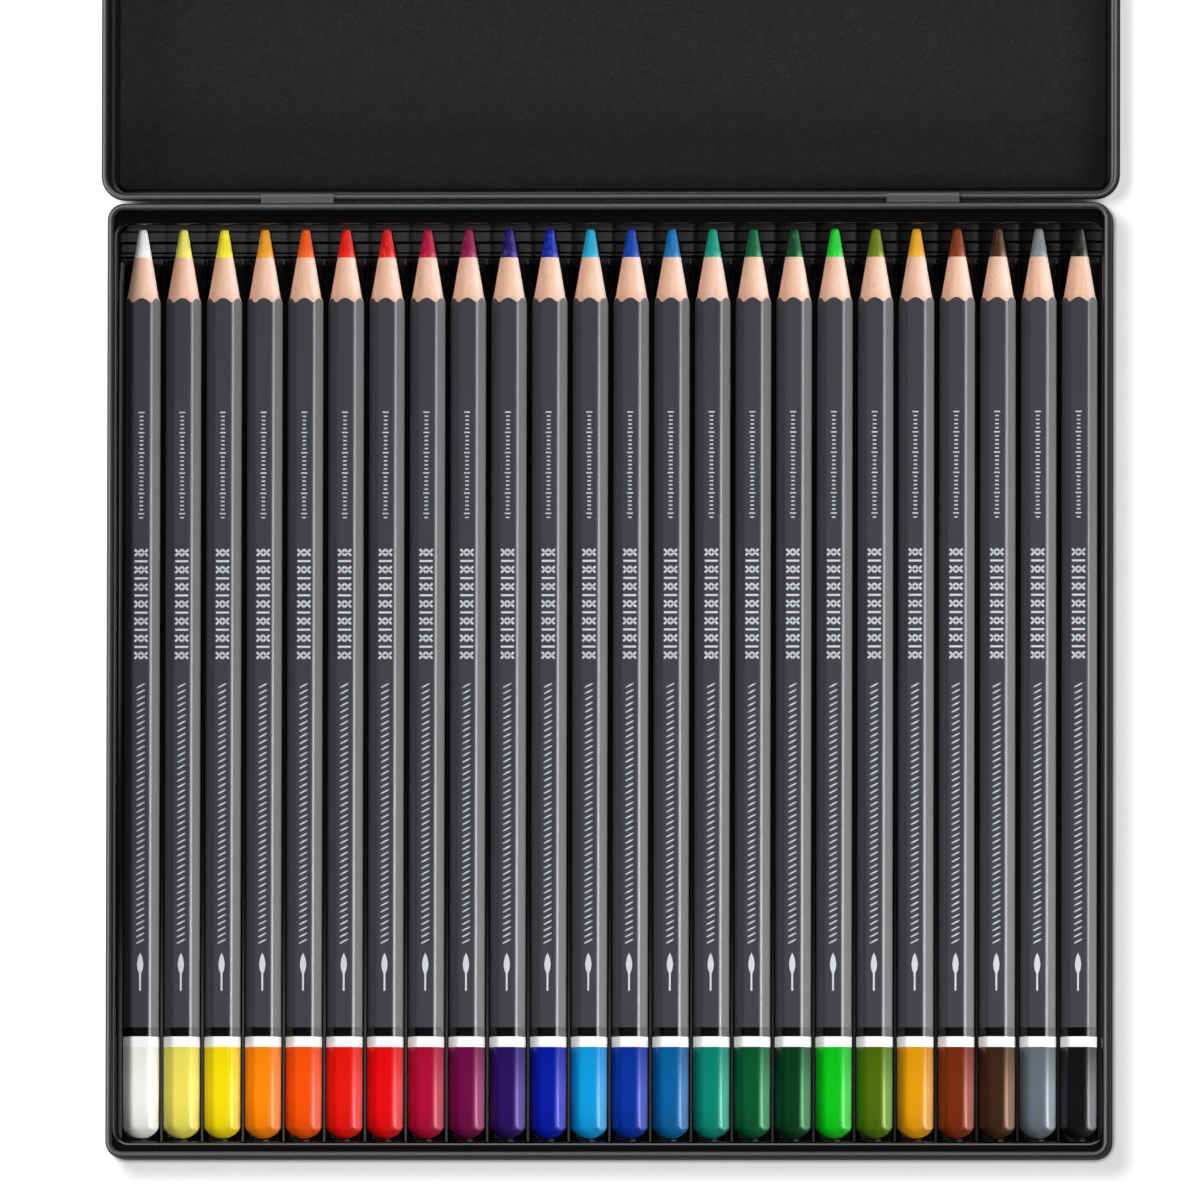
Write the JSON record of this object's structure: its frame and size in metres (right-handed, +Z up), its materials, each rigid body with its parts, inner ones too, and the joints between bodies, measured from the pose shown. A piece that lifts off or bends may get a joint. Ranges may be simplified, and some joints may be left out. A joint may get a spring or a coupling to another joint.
{
  "type": "coloured pencil tin",
  "caption": "Flat hinged metal tin, lying open, with a foam-lined lid and a formed tray that holds one row of hexagonal coloured pencils side by side.",
  "frame": {"origin": "centre of the tray's flat underside", "axes": "+X along the row of pencils, +Y towards the tips and the hinge, +Z up out of the tray"},
  "size_m": [0.1962, 0.3716, 0.0125],
  "materials": {
    "tin_black": "gloss black lacquer on tinplate",
    "insert_black": "glossy thermoformed sheet",
    "foam_black": "matt fine-grained foam sheet",
    "pencil_body": "cedar-coloured wood under anthracite satin lacquer",
    "colour_01": "white: waxy pigment core, gloss dip on the pencil's end",
    "colour_02": "lemon: waxy pigment core, gloss dip on the pencil's end",
    "colour_03": "yellow: waxy pigment core, gloss dip on the pencil's end",
    "colour_04": "light orange: waxy pigment core, gloss dip on the pencil's end",
    "colour_05": "orange: waxy pigment core, gloss dip on the pencil's end",
    "colour_06": "scarlet: waxy pigment core, gloss dip on the pencil's end",
    "colour_07": "red: waxy pigment core, gloss dip on the pencil's end",
    "colour_08": "crimson: waxy pigment core, gloss dip on the pencil's end",
    "colour_09": "purple: waxy pigment core, gloss dip on the pencil's end",
    "colour_10": "violet: waxy pigment core, gloss dip on the pencil's end",
    "colour_11": "ultramarine: waxy pigment core, gloss dip on the pencil's end",
    "colour_12": "light blue: waxy pigment core, gloss dip on the pencil's end",
    "colour_13": "cobalt blue: waxy pigment core, gloss dip on the pencil's end",
    "colour_14": "cerulean: waxy pigment core, gloss dip on the pencil's end",
    "colour_15": "turquoise: waxy pigment core, gloss dip on the pencil's end",
    "colour_16": "leaf green: waxy pigment core, gloss dip on the pencil's end",
    "colour_17": "dark green: waxy pigment core, gloss dip on the pencil's end",
    "colour_18": "bright green: waxy pigment core, gloss dip on the pencil's end",
    "colour_19": "olive: waxy pigment core, gloss dip on the pencil's end",
    "colour_20": "ochre: waxy pigment core, gloss dip on the pencil's end",
    "colour_21": "rust brown: waxy pigment core, gloss dip on the pencil's end",
    "colour_22": "dark brown: waxy pigment core, gloss dip on the pencil's end",
    "colour_23": "blue grey: waxy pigment core, gloss dip on the pencil's end",
    "colour_24": "black: waxy pigment core, gloss dip on the pencil's end"
  },
  "bodies": {
    "tray": {"tray": "tin_black", "insert": "insert_black"},
    "lid": {"lid": "tin_black", "lid_pad": "foam_black"},
    "pencil_01": {"pencil_01_casing": "pencil_body", "pencil_01_core": "colour_01"},
    "pencil_02": {"pencil_02_casing": "pencil_body", "pencil_02_core": "colour_02"},
    "pencil_03": {"pencil_03_casing": "pencil_body", "pencil_03_core": "colour_03"},
    "pencil_04": {"pencil_04_casing": "pencil_body", "pencil_04_core": "colour_04"},
    "pencil_05": {"pencil_05_casing": "pencil_body", "pencil_05_core": "colour_05"},
    "pencil_06": {"pencil_06_casing": "pencil_body", "pencil_06_core": "colour_06"},
    "pencil_07": {"pencil_07_casing": "pencil_body", "pencil_07_core": "colour_07"},
    "pencil_08": {"pencil_08_casing": "pencil_body", "pencil_08_core": "colour_08"},
    "pencil_09": {"pencil_09_casing": "pencil_body", "pencil_09_core": "colour_09"},
    "pencil_10": {"pencil_10_casing": "pencil_body", "pencil_10_core": "colour_10"},
    "pencil_11": {"pencil_11_casing": "pencil_body", "pencil_11_core": "colour_11"},
    "pencil_12": {"pencil_12_casing": "pencil_body", "pencil_12_core": "colour_12"},
    "pencil_13": {"pencil_13_casing": "pencil_body", "pencil_13_core": "colour_13"},
    "pencil_14": {"pencil_14_casing": "pencil_body", "pencil_14_core": "colour_14"},
    "pencil_15": {"pencil_15_casing": "pencil_body", "pencil_15_core": "colour_15"},
    "pencil_16": {"pencil_16_casing": "pencil_body", "pencil_16_core": "colour_16"},
    "pencil_17": {"pencil_17_casing": "pencil_body", "pencil_17_core": "colour_17"},
    "pencil_18": {"pencil_18_casing": "pencil_body", "pencil_18_core": "colour_18"},
    "pencil_19": {"pencil_19_casing": "pencil_body", "pencil_19_core": "colour_19"},
    "pencil_20": {"pencil_20_casing": "pencil_body", "pencil_20_core": "colour_20"},
    "pencil_21": {"pencil_21_casing": "pencil_body", "pencil_21_core": "colour_21"},
    "pencil_22": {"pencil_22_casing": "pencil_body", "pencil_22_core": "colour_22"},
    "pencil_23": {"pencil_23_casing": "pencil_body", "pencil_23_core": "colour_23"},
    "pencil_24": {"pencil_24_casing": "pencil_body", "pencil_24_core": "colour_24"}
  },
  "joints": [
    {"name": "lid_hinge", "type": "hinge", "parent": "tray", "child": "lid", "pos_m": [0, 0.09325, 0.00707], "axis": [-1, 0, 0], "range_deg": [-180, 0]},
    {"name": "pencil_01_lift", "type": "slide", "parent": "tray", "child": "pencil_01", "axis": [0, 0, 1], "range_m": [0, 0.025]},
    {"name": "pencil_02_lift", "type": "slide", "parent": "tray", "child": "pencil_02", "axis": [0, 0, 1], "range_m": [0, 0.025]},
    {"name": "pencil_03_lift", "type": "slide", "parent": "tray", "child": "pencil_03", "axis": [0, 0, 1], "range_m": [0, 0.025]},
    {"name": "pencil_04_lift", "type": "slide", "parent": "tray", "child": "pencil_04", "axis": [0, 0, 1], "range_m": [0, 0.025]},
    {"name": "pencil_05_lift", "type": "slide", "parent": "tray", "child": "pencil_05", "axis": [0, 0, 1], "range_m": [0, 0.025]},
    {"name": "pencil_06_lift", "type": "slide", "parent": "tray", "child": "pencil_06", "axis": [0, 0, 1], "range_m": [0, 0.025]},
    {"name": "pencil_07_lift", "type": "slide", "parent": "tray", "child": "pencil_07", "axis": [0, 0, 1], "range_m": [0, 0.025]},
    {"name": "pencil_08_lift", "type": "slide", "parent": "tray", "child": "pencil_08", "axis": [0, 0, 1], "range_m": [0, 0.025]},
    {"name": "pencil_09_lift", "type": "slide", "parent": "tray", "child": "pencil_09", "axis": [0, 0, 1], "range_m": [0, 0.025]},
    {"name": "pencil_10_lift", "type": "slide", "parent": "tray", "child": "pencil_10", "axis": [0, 0, 1], "range_m": [0, 0.025]},
    {"name": "pencil_11_lift", "type": "slide", "parent": "tray", "child": "pencil_11", "axis": [0, 0, 1], "range_m": [0, 0.025]},
    {"name": "pencil_12_lift", "type": "slide", "parent": "tray", "child": "pencil_12", "axis": [0, 0, 1], "range_m": [0, 0.025]},
    {"name": "pencil_13_lift", "type": "slide", "parent": "tray", "child": "pencil_13", "axis": [0, 0, 1], "range_m": [0, 0.025]},
    {"name": "pencil_14_lift", "type": "slide", "parent": "tray", "child": "pencil_14", "axis": [0, 0, 1], "range_m": [0, 0.025]},
    {"name": "pencil_15_lift", "type": "slide", "parent": "tray", "child": "pencil_15", "axis": [0, 0, 1], "range_m": [0, 0.025]},
    {"name": "pencil_16_lift", "type": "slide", "parent": "tray", "child": "pencil_16", "axis": [0, 0, 1], "range_m": [0, 0.025]},
    {"name": "pencil_17_lift", "type": "slide", "parent": "tray", "child": "pencil_17", "axis": [0, 0, 1], "range_m": [0, 0.025]},
    {"name": "pencil_18_lift", "type": "slide", "parent": "tray", "child": "pencil_18", "axis": [0, 0, 1], "range_m": [0, 0.025]},
    {"name": "pencil_19_lift", "type": "slide", "parent": "tray", "child": "pencil_19", "axis": [0, 0, 1], "range_m": [0, 0.025]},
    {"name": "pencil_20_lift", "type": "slide", "parent": "tray", "child": "pencil_20", "axis": [0, 0, 1], "range_m": [0, 0.025]},
    {"name": "pencil_21_lift", "type": "slide", "parent": "tray", "child": "pencil_21", "axis": [0, 0, 1], "range_m": [0, 0.025]},
    {"name": "pencil_22_lift", "type": "slide", "parent": "tray", "child": "pencil_22", "axis": [0, 0, 1], "range_m": [0, 0.025]},
    {"name": "pencil_23_lift", "type": "slide", "parent": "tray", "child": "pencil_23", "axis": [0, 0, 1], "range_m": [0, 0.025]},
    {"name": "pencil_24_lift", "type": "slide", "parent": "tray", "child": "pencil_24", "axis": [0, 0, 1], "range_m": [0, 0.025]}
  ]
}
